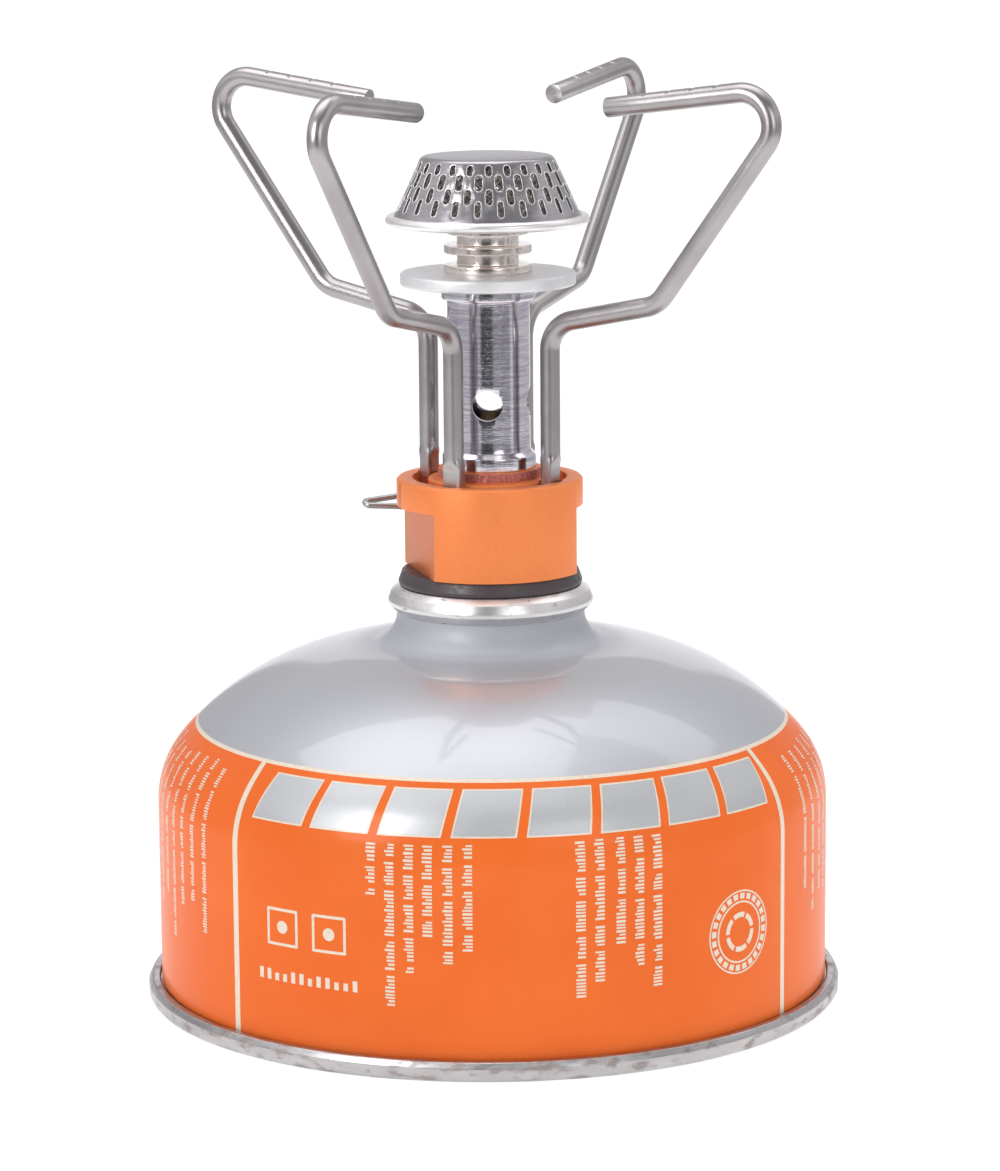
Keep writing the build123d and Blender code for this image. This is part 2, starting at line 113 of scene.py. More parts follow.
class Shader(NodeTree):
    """A material, with short calls for what the materials here need."""

    def __init__(self, name, **inputs):
        self.material = bpy.data.materials.new(name)
        super().__init__(self.material)
        self.bsdf = self.tree.nodes["Principled BSDF"]
        for key, value in inputs.items():
            self.bsdf.inputs[key.replace("_", " ")].default_value = value
        self.coords = self.add("ShaderNodeTexCoord").outputs["Object"]

    def grain(self, scale, detail=3.0, rough=0.5):
        """Noise in space, with a scale per millimetre."""
        return self.noise(self.coords, scale / MM, detail, rough)

    def turning(self, around, up, detail=3.0, rough=0.5):
        """Noise that follows a lathe, scaled per radian about the axis and per millimetre up and outward."""
        split = self.add("ShaderNodeSeparateXYZ")
        self.link(self.coords, split.inputs[0])
        angle = self.math("ARCTAN2", split.outputs["Y"], split.outputs["X"])
        join = self.add("ShaderNodeCombineXYZ")
        self.link(self.math("MULTIPLY", angle, around), join.inputs[0])
        self.link(self.math("MULTIPLY", split.outputs["Z"], up / MM), join.inputs[1])
        self.link(self.math("MULTIPLY", self.radius(), up / MM), join.inputs[2])
        return self.noise(join.outputs[0], 1.0, detail, rough)

    def radius(self):
        """Distance from the axis, in metres."""
        flat = self.add("ShaderNodeVectorMath", operation="MULTIPLY")
        flat.inputs[1].default_value = (1, 1, 0)
        self.link(self.coords, flat.inputs[0])
        length = self.add("ShaderNodeVectorMath", operation="LENGTH")
        self.link(flat.outputs["Vector"], length.inputs[0])
        return length.outputs["Value"]

    def noise(self, vector, scale, detail, rough):
        node = self.add("ShaderNodeTexNoise")
        node.inputs["Scale"].default_value = scale
        node.inputs["Detail"].default_value = detail
        node.inputs["Roughness"].default_value = rough
        self.link(vector, node.inputs["Vector"])
        return node.outputs["Fac"]

    def ramp(self, value, low, high, at=(0.35, 0.65)):
        """A ramp between two colours or two plain values."""
        node = self.add("ShaderNodeValToRGB")
        for element, colour, place in zip(node.color_ramp.elements, (low, high), at):
            element.position = place
            element.color = (colour,) * 3 + (1,) if isinstance(colour, (int, float)) else (*colour, 1)
        self.link(value, node.inputs["Fac"])
        return node.outputs["Color"]

    def mix(self, factor, first, second):
        node = self.add("ShaderNodeMix", data_type="RGBA")
        self.link(factor, node.inputs["Factor"])
        for socket, value in ((node.inputs[6], first), (node.inputs[7], second)):
            if isinstance(value, tuple):
                socket.default_value = (*value, 1)
            else:
                self.link(value, socket)
        return node.outputs[2]

    def colour(self, output):
        self.link(output, self.bsdf.inputs["Base Color"])

    def roughness(self, output):
        self.link(output, self.bsdf.inputs["Roughness"])

    def bump(self, height, distance_mm, strength):
        """Bump over any bump already there."""
        node = self.add("ShaderNodeBump")
        node.inputs["Strength"].default_value = strength
        node.inputs["Distance"].default_value = distance_mm * MM
        self.link(height, node.inputs["Height"])
        if self.bsdf.inputs["Normal"].links:
            self.link(self.bsdf.inputs["Normal"].links[0].from_socket, node.inputs["Normal"])
        self.link(node.outputs["Normal"], self.bsdf.inputs["Normal"])


def silver_lacquer():
    """Silver lacquer, duller and faintly ridged where the neck was drawn."""
    dull, clear = 17.5 * MM, 23.0 * MM
    ridge_r, ridge_half = 17.8 * MM, 1.2 * MM
    s = Shader("silver_lacquer", Metallic=0.5, Coat_Roughness=0.06)
    s.colour(s.ramp(s.grain(9.0, 2.0), (0.45, 0.46, 0.50), (0.49, 0.50, 0.54)))
    radius = s.radius()
    s.link(s.ramp(radius, 0.2, 0.85, (dull, clear)), s.bsdf.inputs["Coat Weight"])
    s.roughness(s.ramp(radius, 0.65, 0.42, (dull, clear)))
    away = s.math("ABSOLUTE", s.math("MULTIPLY_ADD", radius, 1 / ridge_half, -ridge_r / ridge_half))
    s.bump(s.math("SMOOTH_MAX", s.math("SUBTRACT", 1.0, away), 0.0, 0.4), 0.06, 1.0)
    s.bump(s.grain(0.2, 1.0), 0.02, 0.2)
    return s.material


def label_orange():
    s = Shader("label_orange", Roughness=0.4, Specular_IOR_Level=0.08,
               Coat_Weight=0.3, Coat_Roughness=0.12, Coat_IOR=1.35)
    s.colour(s.ramp(s.grain(0.06, 2.0), (0.85, 0.150, 0.020), (0.89, 0.170, 0.026)))
    s.bump(s.grain(0.35, 1.0), 0.012, 0.2)
    return s.material


def mottled(name, dark, bright, scale, **inputs):
    """A material that only drifts between two colours."""
    s = Shader(name, **inputs)
    s.colour(s.ramp(s.grain(scale), dark, bright))
    return s.material


def worn_tinplate(name, around, up, amount, bright):
    """Tinplate with handling smudges. Smudges are sized per radian and per millimetre."""
    s = Shader(name, Metallic=1.0)
    smudge = s.turning(around, up, 4.0, 0.6)
    speck = s.grain(1.6, 3.0, 0.6)
    cloud = s.turning(around / 3, up / 2, 2.0)
    clean = s.ramp(cloud, tuple(0.8 * c for c in bright), bright, (0.3, 0.7))
    dirty = s.mix(s.ramp(smudge, 0.8, 0.0, (amount - 0.12, amount)), clean, (0.33, 0.285, 0.27))
    s.colour(s.mix(s.ramp(speck, 0.8, 0.0, (0.27, 0.33)), dirty, (0.22, 0.18, 0.17)))
    s.roughness(s.ramp(smudge, 0.5, 0.3, (amount - 0.1, amount + 0.1)))
    s.bump(smudge, 0.01, 0.3)
    return s.material


def black_rubber():
    s = Shader("black_rubber")
    fine = s.grain(6.0, 4.0)
    s.colour(s.ramp(fine, (0.045, 0.034, 0.038), (0.085, 0.068, 0.073)))
    s.roughness(s.ramp(s.grain(1.2), 0.3, 0.55))
    s.bump(fine, 0.015, 0.3)
    return s.material


def orange_anodised(name, dark, bright):
    """Anodised aluminium with fine turning marks."""
    s = Shader(name, Metallic=0.3, Specular_IOR_Level=0.2)
    grain = s.grain(5.0)
    s.colour(s.ramp(grain, dark, bright))
    s.roughness(s.ramp(s.grain(2.0), 0.38, 0.46))
    s.bump(s.turning(2, 14.0, 2.0), 0.005, 0.5)
    s.bump(grain, 0.003, 0.4)
    return s.material


# Dark red mottle for orange anodising seen in shade: painted shade and painted reflection, with a real rough
# bump
def collar_painted_shade():
    s = Shader("collar_painted_shade", Metallic=0.4, Roughness=0.55)
    chatter = s.turning(70, 2.0, 4.0, 0.6)
    # The dark to light red ramp is painted shade and painted reflection, mottled by the chatter noise
    s.colour(s.ramp(chatter, (0.28, 0.08, 0.065), (0.78, 0.30, 0.25)))
    s.bump(chatter, 0.06, 0.7)
    return s.material


def turned_chrome():
    s = Shader("turned_chrome", Metallic=1.0)
    lines = s.turning(1.5, 6.0, 3.0, 0.6)
    chatter = s.turning(5.0, 2.2, 4.0, 0.65)
    s.bump(lines, 0.012, 0.7)
    s.bump(chatter, 0.022, 0.7)
    s.roughness(s.ramp(s.grain(1.5, 4.0), 0.06, 0.16))
    s.colour(s.ramp(s.turning(1, 2.0), (0.56, 0.52, 0.62), (0.82, 0.82, 0.84)))
    return s.material


def matte_aluminium():
    s = Shader("matte_aluminium", Metallic=0.85, Roughness=0.5)
    lines = s.turning(1.0, 5.0)
    cloud = s.grain(0.4, 4.0)
    s.colour(s.mix(lines, s.ramp(cloud, (0.70, 0.70, 0.71), (0.80, 0.80, 0.82)), (0.88, 0.88, 0.89)))
    s.bump(lines, 0.008, 0.5)
    return s.material


def nickel_plate():
    s = Shader("nickel_plate", Metallic=1.0)
    pits = s.grain(1.8, 4.0, 0.6)
    cloud = s.grain(0.5)
    clean = s.ramp(cloud, (0.76, 0.68, 0.62), (0.90, 0.85, 0.82))
    s.colour(s.mix(s.ramp(pits, 0.8, 0.0, (0.30, 0.42)), clean, (0.55, 0.46, 0.41)))
    s.roughness(s.ramp(pits, 0.26, 0.16))
    s.bump(pits, 0.008, 0.3)
    return s.material


def stainless_wire():
    s = Shader("stainless_wire", Metallic=1.0)
    cloud = s.grain(0.08, 2.0)
    fine = s.grain(0.6, 2.0)
    s.colour(s.ramp(cloud, (0.38, 0.355, 0.36), (0.46, 0.435, 0.44)))
    s.roughness(s.ramp(fine, 0.29, 0.33))
    s.bump(fine, 0.003, 0.3)
    return s.material


def pressed_stainless(name, dark, bright, rough):
    """Pressed stainless steel, faintly brushed round the axis."""
    s = Shader(name, Metallic=1.0, Roughness=rough)
    brush = s.turning(6, 3.0)
    s.colour(s.ramp(brush, dark, bright))
    s.bump(brush, 0.002, 0.3)
    return s.material


def machined_brass():
    s = Shader("machined_brass", Metallic=1.0, Roughness=0.25)
    s.colour(s.ramp(s.turning(1, 5.0), (0.62, 0.42, 0.17), (0.78, 0.56, 0.26)))
    return s.material


def moulded_plastic():
    s = Shader("moulded_plastic", Roughness=0.45)
    s.colour(s.ramp(s.grain(1.0), (0.72, 0.71, 0.67), (0.78, 0.77, 0.73)))
    s.bump(s.grain(5.0), 0.01, 0.3)
    return s.material


LACQUER = silver_lacquer()
ORANGE_INK = label_orange()
CREAM_INK = mottled("label_cream", (0.78, 0.655, 0.51), (0.85, 0.735, 0.60), 2.0,
                    Roughness=0.4, Coat_Weight=0.35, Coat_Roughness=0.12)
SILVER_INK = mottled("label_silver", (0.47, 0.48, 0.50), (0.53, 0.54, 0.56), 6.0,
                     Metallic=0.4, Roughness=0.4, Coat_Weight=0.4, Coat_Roughness=0.1)
TINPLATE = worn_tinplate("worn_tinplate", 16, 0.7, 0.47, (0.56, 0.55, 0.56))
CRIMP = worn_tinplate("crimp_tinplate", 5, 0.8, 0.39, (0.88, 0.86, 0.86))
RUBBER = black_rubber()
ANODISED = orange_anodised("orange_anodised", (0.90, 0.25, 0.072), (0.96, 0.29, 0.098))
# A darker copy of the same anodising for the body's side flats: painted shade
ANODISED_FLATS_SHADE = orange_anodised("anodised_flats_painted_shade", (0.60, 0.16, 0.048), (0.66, 0.19, 0.066))
# Painted shade and painted reflection for the collar ring
COLLAR_PAINTED_SHADE = collar_painted_shade()
CHROME = turned_chrome()
ALUMINIUM = matte_aluminium()
NICKEL = nickel_plate()
WIRE = stainless_wire()
# Two copies of one pressed steel: the bright one for the pan, cap top and lips, and a darker one for the
# cap's slotted cone as painted shade
PRESSED = pressed_stainless("pressed_stainless", (0.86, 0.84, 0.85), (0.94, 0.92, 0.93), 0.4)
CONE_SHADE_STAINLESS = pressed_stainless("stainless_cone_painted_shade", (0.36, 0.345, 0.37), (0.43, 0.415, 0.44), 0.31)
CLOTH = mottled("wire_cloth", (0.66, 0.57, 0.52), (0.98, 0.95, 0.92), 1.5, Metallic=0.5, Roughness=0.35)
BRASS = machined_brass()
PLASTIC = moulded_plastic()

# What the CAD nodes are made of
MADE_OF = (
    (LACQUER, "canister_shell"), (TINPLATE, "canister_base"), (CRIMP, "valve_cup"),
    (RUBBER, "cup_seal", "stem_gasket", "base_gasket", "inlet_oring", "spindle_oring"),
    (PLASTIC, "valve_housing", "valve_stem"), (ANODISED, "stove_body"), (CHROME, "mixing_tube"),
    (BRASS, "depressor_pin", "jet", "jet_filter"), (NICKEL, "packing_nut", "burner_neck"),
    (ALUMINIUM, "heat_disc"), (PRESSED, "burner_pan", "burner_cap"), (CLOTH, "burner_screen"),
    (WIRE, "valve_spring", "valve_spindle", "control_bail",
     *(f"{kind}_{number}" for kind in ("pot_support", "support_clip") for number in range(1, 5))),
)
for material, *nodes in MADE_OF:
    for node in nodes:
        mesh = NODES[node].data
        mesh.materials.clear()
        mesh.materials.append(material)


# ---- mesh tools: outlines and points are in millimetres ----

def shade_smooth(mesh, sharp):
    """Smooth shading, broken at edges sharper than an angle in degrees."""
    mesh.polygons.foreach_set("use_smooth", [True] * len(mesh.polygons))
    mesh.set_sharp_from_angle(angle=radians(sharp))


def add_piece(name, mesh, materials, body, replaced=(), sharp=35.0):
    """Put a mesh in the scene as a piece that rides on a body."""
    for material in materials:
        mesh.materials.append(material)
    shade_smooth(mesh, sharp)
    piece = placed(name, mesh)
    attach(piece, body)
    if replaced:
        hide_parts(*replaced)
    return piece


def mesh_of(name, points, faces):
    mesh = bpy.data.meshes.new(name)
    mesh.from_pydata([(x * MM, y * MM, z * MM) for x, y, z in points], [], faces)
    mesh.validate()
    return mesh


def polar(radius, azimuth, z):
    turn = radians(azimuth)
    return (radius * cos(turn), radius * sin(turn), z)


def arc(centre, radius, start, end, steps):
    """Outline points along an arc, between two angles in degrees."""
    turns = [radians(start + (end - start) * i / steps) for i in range(steps + 1)]
    return [(centre[0] + radius * cos(t), centre[1] + radius * sin(t)) for t in turns]


# Half angle from which a corner is left alone, and the share of a side that a rounding may take
NEARLY_STRAIGHT = radians(88)
ROUNDING_REACH = 0.45


def rounded(corners, radius, steps=5):
    """Round the corners of a closed outline. A corner may carry its own radius as a third value."""
    outline = []
    for i, corner in enumerate(corners):
        here = Vector(corner[:2])
        before = Vector(corners[i - 1][:2]) - here
        after = Vector(corners[(i + 1) % len(corners)][:2]) - here
        size = corner[2] if len(corner) > 2 else radius
        half = before.angle(after) / 2
        if size == 0 or half > NEARLY_STRAIGHT:
            outline.append(tuple(here))
            continue
        reach = min(size / tan(half), ROUNDING_REACH * before.length, ROUNDING_REACH * after.length)
        start = here + before.normalized() * reach
        end = here + after.normalized() * reach
        for k in range(steps + 1):
            t = k / steps
            point = start * (1 - t) ** 2 + here * 2 * t * (1 - t) + end * t ** 2
            outline.append(tuple(point))
    return outline


def skin(rings, closed, capped):
    """Faces over rings of point numbers. The last ring may meet the first, or both ends be filled."""
    faces = []
    for lower, upper in zip(rings, rings[1:] + rings[:1] if closed else rings[1:]):
        for k in range(len(lower)):
            n = (k + 1) % len(lower)
            face = [lower[k], lower[n], upper[n], upper[k]]
            face = [v for j, v in enumerate(face) if v != face[j - 1]]
            if len(face) > 2:
                faces.append(face)
    if capped:
        faces += [rings[0][::-1], rings[-1]]
    return faces


def lathe(name, outline, segments, closed=True, ripple=None):
    """Turn an outline of (radius, z) about the axis. A point on the axis becomes one vertex."""
    points = []
    rings = []
    for radius, z in outline:
        if radius == 0:
            rings.append([len(points)] * segments)
            points.append((0, 0, z))
            continue
        rings.append(list(range(len(points), len(points) + segments)))
        for k in range(segments):
            azimuth = 360 * k / segments
            grow = ripple(azimuth, z) if ripple else 0
            points.append(polar(radius + grow, azimuth, z))
    return mesh_of(name, points, skin(rings, closed, False))


def turned(name, outline, segments, material, body, replaced=(), closed=True, ripple=None):
    """Turn an outline and put it in the scene as a piece."""
    return add_piece(name, lathe(name, outline, segments, closed, ripple), [material], body, replaced)


def bent_path(points, radii, step=6.0):
    """Points along straight runs joined by tangent arcs, with a point every few degrees of a bend."""
    points = [Vector(p) for p in points]
    path = [points[0]]
    for i in range(1, len(points) - 1):
        here = points[i]
        before = (points[i - 1] - here).normalized()
        after = (points[i + 1] - here).normalized()
        half = before.angle(after) / 2
        radius = radii[i - 1]
        centre = here + (before + after).normalized() * (radius / sin(half))
        start = here + before * (radius / tan(half)) - centre
        turn = pi - 2 * half
        axis = after.cross(before)
        count = max(2, int(degrees(turn) / step))
        for k in range(count + 1):
            path.append(centre + Matrix.Rotation(turn * k / count, 3, axis) @ start)
    path.append(points[-1])
    return path


def round_wire(path, radius, sides=24, closed=False):
    """Sweep a circle along a path, as (points, faces)."""
    count = len(path)
    turns = [2 * pi * k / sides for k in range(sides)]
    side = None
    points = []
    for i in range(count):
        after = path[(i + 1) % count] if closed or i < count - 1 else path[i]
        before = path[i - 1] if closed or i > 0 else path[i]
        ahead = (after - before).normalized()
        if side is None:
            side = ahead.orthogonal().normalized()
        side = (side - ahead * side.dot(ahead)).normalized()
        up = ahead.cross(side)
        points += [path[i] + side * (radius * cos(t)) + up * (radius * sin(t)) for t in turns]
    rings = [list(range(i * sides, (i + 1) * sides)) for i in range(count)]
    return points, skin(rings, closed, not closed)


def joined(parts):
    """Join several (points, faces) lists in one."""
    points, faces = [], []
    for part_points, part_faces in parts:
        base = len(points)
        points += [tuple(p) for p in part_points]
        faces += [tuple(v + base for v in face) for face in part_faces]
    return points, faces


def cut(piece, cutters):
    """Cut meshes out of a piece and apply the result."""
    for mesh in cutters:
        tool = placed("cutter", mesh)
        modifier = piece.modifiers.new("cut", "BOOLEAN")
        modifier.operation = "DIFFERENCE"
        modifier.solver = "EXACT"
        modifier.object = tool
        apply_modifiers(piece)
        bpy.data.objects.remove(tool)


def apply_modifiers(piece):
    """Replace a piece's mesh by what its modifiers make of it."""
    graph = bpy.context.evaluated_depsgraph_get()
    graph.update()
    mesh = bpy.data.meshes.new_from_object(piece.evaluated_get(graph))
    piece.modifiers.clear()
    old = piece.data
    piece.data = mesh
    bpy.data.meshes.remove(old)


def ease_edges(piece, width_mm, angle=32.0):
    """Round a piece's edges that are sharper than an angle."""
    bevel = piece.modifiers.new("edges", "BEVEL")
    bevel.width = width_mm * MM
    bevel.segments = 2
    bevel.limit_method = "ANGLE"
    bevel.angle_limit = radians(angle)
    bevel.miter_outer = "MITER_ARC"
    apply_modifiers(piece)
    shade_smooth(piece.data, 40)


# Points are merged within millimetres, faces within degrees
MERGE_WITHIN, FLAT_WITHIN = 0.002, 1.0


def softened(name, node, material, body, width_mm):
    """A copy of a CAD node with its facets merged and its edges rounded."""
    mesh = NODES[node].data.copy()
    mesh.name = name
    mesh.materials.clear()
    net = bmesh.new()
    net.from_mesh(mesh)
    bmesh.ops.remove_doubles(net, verts=net.verts, dist=MERGE_WITHIN * MM)
    bmesh.ops.dissolve_limit(net, angle_limit=radians(FLAT_WITHIN), verts=net.verts, edges=net.edges)
    net.to_mesh(mesh)
    net.free()
    piece = add_piece(name, mesh, [material], body, [node])
    ease_edges(piece, width_mm)
    return piece


# ---- gas canister ----

WALL_R, SEAM_TOP, SHOULDER_Z = 53.3, 3.05, 31.7
SHOULDER_BEND, SHOULDER_TURN, CROWN_R = 14.7, 40.2, 43.1
NECK_R, NECK_FLARE, CAN_TOP = 14.9, 5.0, 63.4
LABEL_REACH, LINE_WIDTH = 3.9, 0.65
LABEL_BOTTOM = SEAM_TOP - 0.2
FRONT = 270.0
RIM_SEGMENTS = 256


class CanProfile:
    """The canister's outside as a line, measured in millimetres up from the bench."""

    def __init__(self):
        turn = radians(SHOULDER_TURN)
        reach, span, flare_r = SHOULDER_BEND - CROWN_R, CROWN_R + NECK_FLARE, NECK_R + NECK_FLARE
        self.shoulder = (WALL_R - SHOULDER_BEND, SHOULDER_Z)
        self.crown = (self.shoulder[0] + reach * cos(turn), self.shoulder[1] + reach * sin(turn))
        self.crown_end = degrees(acos((flare_r - self.crown[0]) / span))
        self.flare = (flare_r, self.crown[1] + span * sin(radians(self.crown_end)))
        self.bend_length = SHOULDER_BEND * turn
        self.crown_length = CROWN_R * radians(self.crown_end - SHOULDER_TURN)
        self.label_top = SHOULDER_Z + self.bend_length + LABEL_REACH

    def at(self, height):
        """Radius, z and outward slope at a length up the profile."""
        if height <= SHOULDER_Z:
            return WALL_R, height, 0.0
        height -= SHOULDER_Z
        if height <= self.bend_length:
            turn = height / SHOULDER_BEND
            centre, radius = self.shoulder, SHOULDER_BEND
        else:
            turn = radians(SHOULDER_TURN) + (height - self.bend_length) / CROWN_R
            centre, radius = self.crown, CROWN_R
        return centre[0] + radius * cos(turn), centre[1] + radius * sin(turn), turn

    def outside(self, heights):
        """Outline of the outside, with points at the given lengths, then on to the neck."""
        points = [self.at(h)[:2] for h in heights]
        last = heights[-1]
        top = SHOULDER_Z + self.bend_length + self.crown_length
        steps = 26
        points += [self.at(last + (top - last) * (i + 1) / steps)[:2] for i in range(steps)]
        points += arc(self.flare, NECK_FLARE, self.crown_end + 180, 180, 18)[1:]
        points.append((NECK_R, CAN_TOP))
        return points


PROFILE = CanProfile()


def canister_body():
    """The drawn can, printed orange below a cream line and silver lacquered above it."""
    top = PROFILE.label_top
    steps = 46
    heights = [LABEL_BOTTOM + (top - LABEL_BOTTOM) * i / steps for i in range(steps + 1)]
    heights.append(top + LINE_WIDTH)
    outside = PROFILE.outside(heights)
    sheet, drop = 0.5, 0.15
    inside = [(radius - sheet, z - drop) for radius, z in reversed(outside)]
    mesh = lathe("can_body", outside + inside, RIM_SEGMENTS)
    for face in mesh.polygons:
        band = face.index // RIM_SEGMENTS
        if band <= steps:
            face.material_index = 1 if band < steps else 2
    materials = [LACQUER, ORANGE_INK, CREAM_INK]
    add_piece("can_body", mesh, materials, "canister", ["canister_shell"])


def hand_wear(seed, size):
    """A slow, seeded unevenness round a rim."""
    draw = random.Random(seed)
    waves = [(draw.randint(2, 40), draw.uniform(0, 2 * pi), draw.uniform(0.3, 1)) for _ in range(9)]

    def ripple(azimuth, z):
        turn = radians(azimuth)
        return size * sum(a * sin(n * turn + p + z) for n, p, a in waves) / len(waves)
    return ripple


def seam_rim():
    """Dished bottom end, with the rolled seam that the can stands on. Corners are radius, z and rounding."""
    seam_r, low, _ = extent("canister_base")
    inner, dish_top = 52.2, 8.4
    dish = [(inner - 1.6, 4.4), (inner - 14, 6.1), (inner - 30, 7.6), (0, dish_top)]
    under = [(0, dish_top - 0.6), (inner - 30, 7.0), (inner - 14, 5.5), (inner - 2.2, 3.6)]
    corners = [(inner, 2.2, 0.8), (inner + 0.5, low, 0.5), (seam_r - 0.5, low, 0.5), (seam_r, low + 0.6, 0.4),
               (seam_r, 2.15, 0.45), (seam_r - 0.55, SEAM_TOP, 0.4), (WALL_R + 0.35, SEAM_TOP, 0.3),
               (WALL_R + 0.2, SEAM_TOP - 0.5, 0), (inner + 0.5, SEAM_TOP - 0.5, 0), (inner, 4.0, 0.5)]
    outline = under + rounded([under[-1]] + corners + [dish[0]], 0.4)[6:-1] + dish
    turned("seam_rim", outline, RIM_SEGMENTS, TINPLATE, "canister", ["canister_base"], False,
           hand_wear(3, 0.05))


def crimp_ring():
    """Valve cup: the crimped ring that shows round the neck, its well and the threaded boss."""
    ring_r = extent("valve_cup")[0]
    crest, floor, well_r = 65.7, 58.5, 12.9
    boss_r, boss_top, bore_r, mouth_r, mouth_z = 5.45, 68.6, 4.6, 2.1, 66.8
    corners = [(NECK_R + 0.1, 61.5, 0.05), (ring_r, 62.85, 0.12), (ring_r, 63.45, 0.15), (15.75, 64.8, 0.25),
               (14.5, crest, 0.5), (13.4, crest, 0.5), (well_r, crest - 0.6, 0.4), (well_r, floor, 1.2),
               (boss_r + 0.5, floor, 0.5), (boss_r, floor + 0.5, 0.2), (boss_r, boss_top - 0.5, 0.2),
               (boss_r - 0.5, boss_top, 0.2), (mouth_r, boss_top, 0.1), (mouth_r, mouth_z, 0),
               (bore_r, mouth_z, 0), (bore_r, floor - 0.5, 0), (well_r + 0.4, floor - 0.5, 0.8),
               (well_r + 0.4, crest - 0.7, 0.2), (14.5, crest - 0.5, 0.5), (15.6, 63.5, 0.4),
               (NECK_R + 0.1, 62.1, 0.1)]
    turned("crimp_ring", rounded(corners, 0.3), 192, CRIMP, "canister", ["valve_cup"],
           ripple=hand_wear(8, 0.012))


# ---- label: azimuths in degrees, everything else in millimetres ----

PRINT_LIFT, PRINT_OVER, INK_THICK = 0.03, 0.05, 0.015
DEGREE = radians(1) * WALL_R


class Print:
    """Flat printed marks, laid on the canister as thin skins."""

    def __init__(self, name, material, lift):
        self.name, self.material, self.lift = name, material, lift
        self.points, self.faces = [], []

    def patch(self, place, across, along):
        """A patch whose point at (s, t) is place(s, t), an azimuth and a height on the can."""
        base = len(self.points)
        for i in range(across + 1):
            for j in range(along + 1):
                azimuth, height = place(i / across, j / along)
                radius, z, slope = PROFILE.at(height)
                reach = radius + self.lift * cos(slope)
                self.points.append(polar(reach, azimuth, z + self.lift * sin(slope)))
        for i in range(across):
            for j in range(along):
                a = base + i * (along + 1) + j
                self.faces.append((a, a + along + 1, a + along + 2, a + 1))

    def block(self, azimuth, height, wide, tall, slant=0.0, across=1, along=1):
        """An upright block, or one that leans by slant from bottom to top."""
        def place(s, t):
            shift = (s - 0.5) * wide + (t - 0.5) * slant
            return azimuth + shift / DEGREE, height + (t - 0.5) * tall
        self.patch(place, across, along)

    def stroke(self, start, end, width, steps):
        """A line from one (sideways, height) point to another."""
        (x0, y0), (x1, y1) = start, end
        length = hypot(x1 - x0, y1 - y0)
        nx, ny = -(y1 - y0) / length * width / 2, (x1 - x0) / length * width / 2

        def place(s, t):
            x = x0 + (x1 - x0) * t + nx * (1 - 2 * s)
            y = y0 + (y1 - y0) * t + ny * (1 - 2 * s)
            return x / DEGREE, y
        self.patch(place, 1, steps)

    def ring(self, azimuth, height, radius, width, steps, gap=0):
        """A ring. With a gap, one step in that many is left out."""
        for k in range(steps):
            if gap and k % gap == 0:
                continue

            def place(s, t, k=k):
                turn = 2 * pi * (k + t) / steps
                reach = radius + width * (s - 0.5)
                return azimuth + reach * cos(turn) / DEGREE, height + reach * sin(turn)
            self.patch(place, 1, 1)

    def finish(self):
        mesh = mesh_of(self.name, self.points, self.faces)
        piece = add_piece(self.name, mesh, [self.material], "canister")
        solid = piece.modifiers.new("film", "SOLIDIFY")
        solid.thickness = INK_THICK * MM
        solid.offset = -1
        apply_modifiers(piece)
        shade_smooth(piece.data, 30)


TEXT_TALL, SMALL_TEXT_TALL, WORD_GAP = 1.5, 1.15, 0.7
TICK_PITCH, TICK_COVER, TICK_SIZES = (0.44, 0.66), 0.6, (0.66, 0.82, 1.0, 1.0)


def word_column(ink, azimuth, top, bottom, draw, tall=TEXT_TALL):
    """A column of short ticks that stands for a line of small print read downwards."""
    height = top
    left = draw.randint(4, 9)
    scale = tall / TEXT_TALL
    while height > bottom:
        advance = draw.uniform(*TICK_PITCH) * scale
        size = tall * draw.choice(TICK_SIZES)
        ink.block(azimuth + (tall - size) / 2 / DEGREE, height - advance / 2, size, advance * TICK_COVER)
        height -= advance
        left -= 1
        if left == 0:
            height -= WORD_GAP * scale
            left = draw.randint(5, 14)


def tick_row(ink, azimuth, height, width, count, tall, draw):
    """A row of upright ticks."""
    for k in range(count):
        x = (k - (count - 1) / 2) * width / count
        size = tall * draw.choice((0.7, 1.0, 1.0))
        ink.block(azimuth + x / DEGREE, height + (size - tall) / 2, width / count * 0.5, size)


def badge(ink, azimuth, height, size):
    """A plain square outline with a dot in it."""
    line, dot = 0.45, 1.0
    x = azimuth * DEGREE
    half = size / 2
    corners = [(x - half, height - half), (x + half, height - half), (x + half, height + half),
               (x - half, height + half)]
    for i in range(4):
        ink.stroke(corners[i], corners[(i + 1) % 4], line, 4)
        ink.ring(corners[i][0] / DEGREE, corners[i][1], 0.11, 0.22, 12)
    ink.ring(azimuth, height, dot / 2, dot, 20)


DIVIDERS, DIVIDER_WIDTH = (-47.2, 56.8), 1.15
BAND_LOW, BAND_HIGH, BAND_START, BAND_END = 37.2, 44.5, -43.9, 55.2
BAND_BARS, BAND_COVER, BAND_SLANT, BAND_LINE = 8, 0.82, 1.5, 0.6
# Columns of small print: azimuth from the panel's middle, top and bottom
TEXT_COLUMNS = ((-20.0, 35.8, 28.0), (-16.8, 35.8, 10.8), (-13.6, 35.8, 16.4), (-10.5, 35.8, 22.1),
                (-7.2, 35.9, 17.7), (-4.0, 36.0, 20.0), (14.3, 36.1, 12.4), (17.5, 36.2, 14.5),
                (21.1, 36.2, 20.3), (24.4, 36.1, 16.3), (27.7, 36.0, 12.6))
BADGE_AZIMUTHS, BADGE_HEIGHT, BADGE_SIZE = (-36.6, -27.5), 20.9, 5.4
TICKS_AZIMUTH, TICKS_HEIGHT, TICKS_WIDTH, TICKS_TALL = -32.0, 13.3, 18.6, 1.7
ROUNDEL_AZIMUTH, ROUNDEL_HEIGHT = 44.9, 18.3
